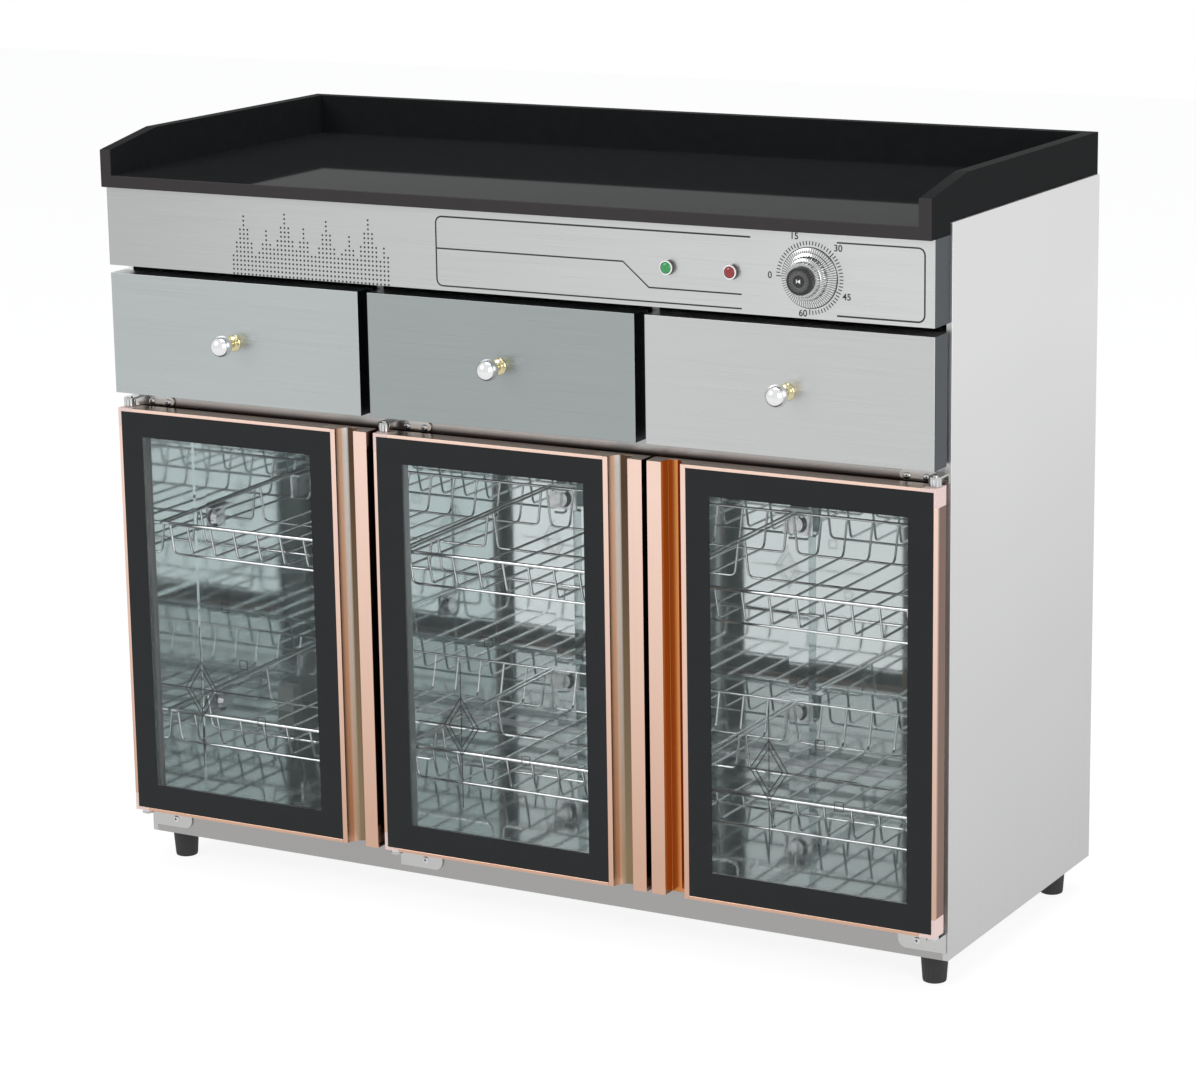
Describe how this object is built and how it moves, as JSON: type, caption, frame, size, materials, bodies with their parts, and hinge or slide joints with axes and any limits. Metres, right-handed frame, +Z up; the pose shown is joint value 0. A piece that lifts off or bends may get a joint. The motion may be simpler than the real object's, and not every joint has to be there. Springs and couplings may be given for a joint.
{
  "type": "dish sterilizer cabinet",
  "caption": "Low stainless cabinet with a rimmed black worktop, a timer and lamps, drawers with round knobs, and glazed doors before a heated chamber of wire racks.",
  "frame": {"origin": "on the floor under the middle of the overall box", "axes": "+X to the viewer's right along the front, +Y from the front towards the back wall, +Z up"},
  "size_m": [1.2, 0.5526, 1.012],
  "materials": {
    "side_steel": "satin stainless sheet",
    "liner_steel": "bright stainless sheet",
    "frame_steel": "satin stainless sheet",
    "feet": "black rubber",
    "worktop_tray": "glossy black",
    "control_fascia": "horizontal brushed stainless",
    "switch_plastic": "dark moulded plastic",
    "timer_dial": "polished chrome",
    "timer_cap": "black plastic",
    "lamp_bezels": "polished chrome",
    "lamp_lens_green": "green lens",
    "lamp_lens_red": "red lens",
    "drawer_steel": "brushed stainless",
    "box_steel": "satin stainless sheet",
    "knob_metal": "polished metal",
    "door_aluminium": "rose gold anodised, satin",
    "door_glass": "clear glass with a printed black border",
    "cap_plastic": "pale pink plastic",
    "gasket_rubber": "grey rubber",
    "bracket_steel": "satin stainless sheet",
    "bracket_screws": "plated screw heads",
    "hinge_pins": "plated pins",
    "rack_wire": "plated wire",
    "rack_hooks": "polished",
    "heater_tube": "quartz tube",
    "heater_holders": "ceramic white",
    "cord_gland": "black"
  },
  "bodies": {
    "cabinet": {"side_panel_left": "side_steel", "side_liner_left": "liner_steel", "front_stile_left": "frame_steel", "drawer_divider_left": "frame_steel", "side_panel_right": "side_steel", "side_liner_right": "liner_steel", "front_stile_right": "frame_steel", "drawer_divider_right": "frame_steel", "back_panel": "liner_steel", "base_panel": "frame_steel", "drawer_deck": "frame_steel", "feet": "feet", "worktop_tray": "worktop_tray", "control_fascia": "control_fascia", "timer_switch": "switch_plastic", "lamp_bezels": "lamp_bezels", "lamp_lens_green": "lamp_lens_green", "lamp_lens_red": "lamp_lens_red", "drawer_guides": "box_steel", "hinge_brackets_top": "bracket_steel", "hinge_brackets_bottom": "bracket_steel", "bracket_screws": "bracket_screws", "hinge_pins": "hinge_pins", "wire_rack_upper_left": "rack_wire", "wire_rack_upper_middle": "rack_wire", "wire_rack_upper_right": "rack_wire", "wire_rack_lower_left": "rack_wire", "wire_rack_lower_middle": "rack_wire", "wire_rack_lower_right": "rack_wire", "rack_hooks": "rack_hooks", "rack_posts": "frame_steel", "heater_tube": "heater_tube", "heater_holders": "heater_holders", "cord_gland": "cord_gland"},
    "timer": {"timer_dial": "timer_dial", "timer_cap": "timer_cap"},
    "drawer_left": {"drawer_front_left": "drawer_steel", "drawer_box_left": "box_steel", "drawer_knob_left": "knob_metal"},
    "drawer_middle": {"drawer_front_middle": "drawer_steel", "drawer_box_middle": "box_steel", "drawer_knob_middle": "knob_metal"},
    "drawer_right": {"drawer_front_right": "drawer_steel", "drawer_box_right": "box_steel", "drawer_knob_right": "knob_metal"},
    "door_left": {"door_frame_left": "door_aluminium", "door_handle_left": "door_aluminium", "door_glass_left": "door_glass", "door_corner_caps_left": "cap_plastic", "door_gasket_left": "gasket_rubber"},
    "door_middle": {"door_frame_middle": "door_aluminium", "door_handle_middle": "door_aluminium", "door_glass_middle": "door_glass", "door_corner_caps_middle": "cap_plastic", "door_gasket_middle": "gasket_rubber"},
    "door_right": {"door_frame_right": "door_aluminium", "door_handle_right": "door_aluminium", "door_glass_right": "door_glass", "door_corner_caps_right": "cap_plastic", "door_gasket_right": "gasket_rubber"}
  },
  "joints": [
    {"name": "left_door_hinge", "type": "hinge", "parent": "cabinet", "child": "door_left", "pos_m": [-0.59, -0.21375, 0.362], "axis": [0, 0, -1], "range_deg": [0, 110]},
    {"name": "middle_door_hinge", "type": "hinge", "parent": "cabinet", "child": "door_middle", "pos_m": [-0.1855, -0.21375, 0.362], "axis": [0, 0, -1], "range_deg": [0, 90]},
    {"name": "right_door_hinge", "type": "hinge", "parent": "cabinet", "child": "door_right", "pos_m": [0.59, -0.21375, 0.362], "axis": [0, 0, 1], "range_deg": [0, 110]},
    {"name": "left_drawer_slide", "type": "slide", "parent": "cabinet", "child": "drawer_left", "axis": [0, -1, 0], "range_m": [0, 0.3]},
    {"name": "middle_drawer_slide", "type": "slide", "parent": "cabinet", "child": "drawer_middle", "axis": [0, -1, 0], "range_m": [0, 0.3]},
    {"name": "right_drawer_slide", "type": "slide", "parent": "cabinet", "child": "drawer_right", "axis": [0, -1, 0], "range_m": [0, 0.3]},
    {"name": "timer_turn", "type": "hinge", "parent": "cabinet", "child": "timer", "pos_m": [0.434, -0.23375, 0.888], "axis": [0, 1, 0], "range_deg": [0, 270]}
  ]
}
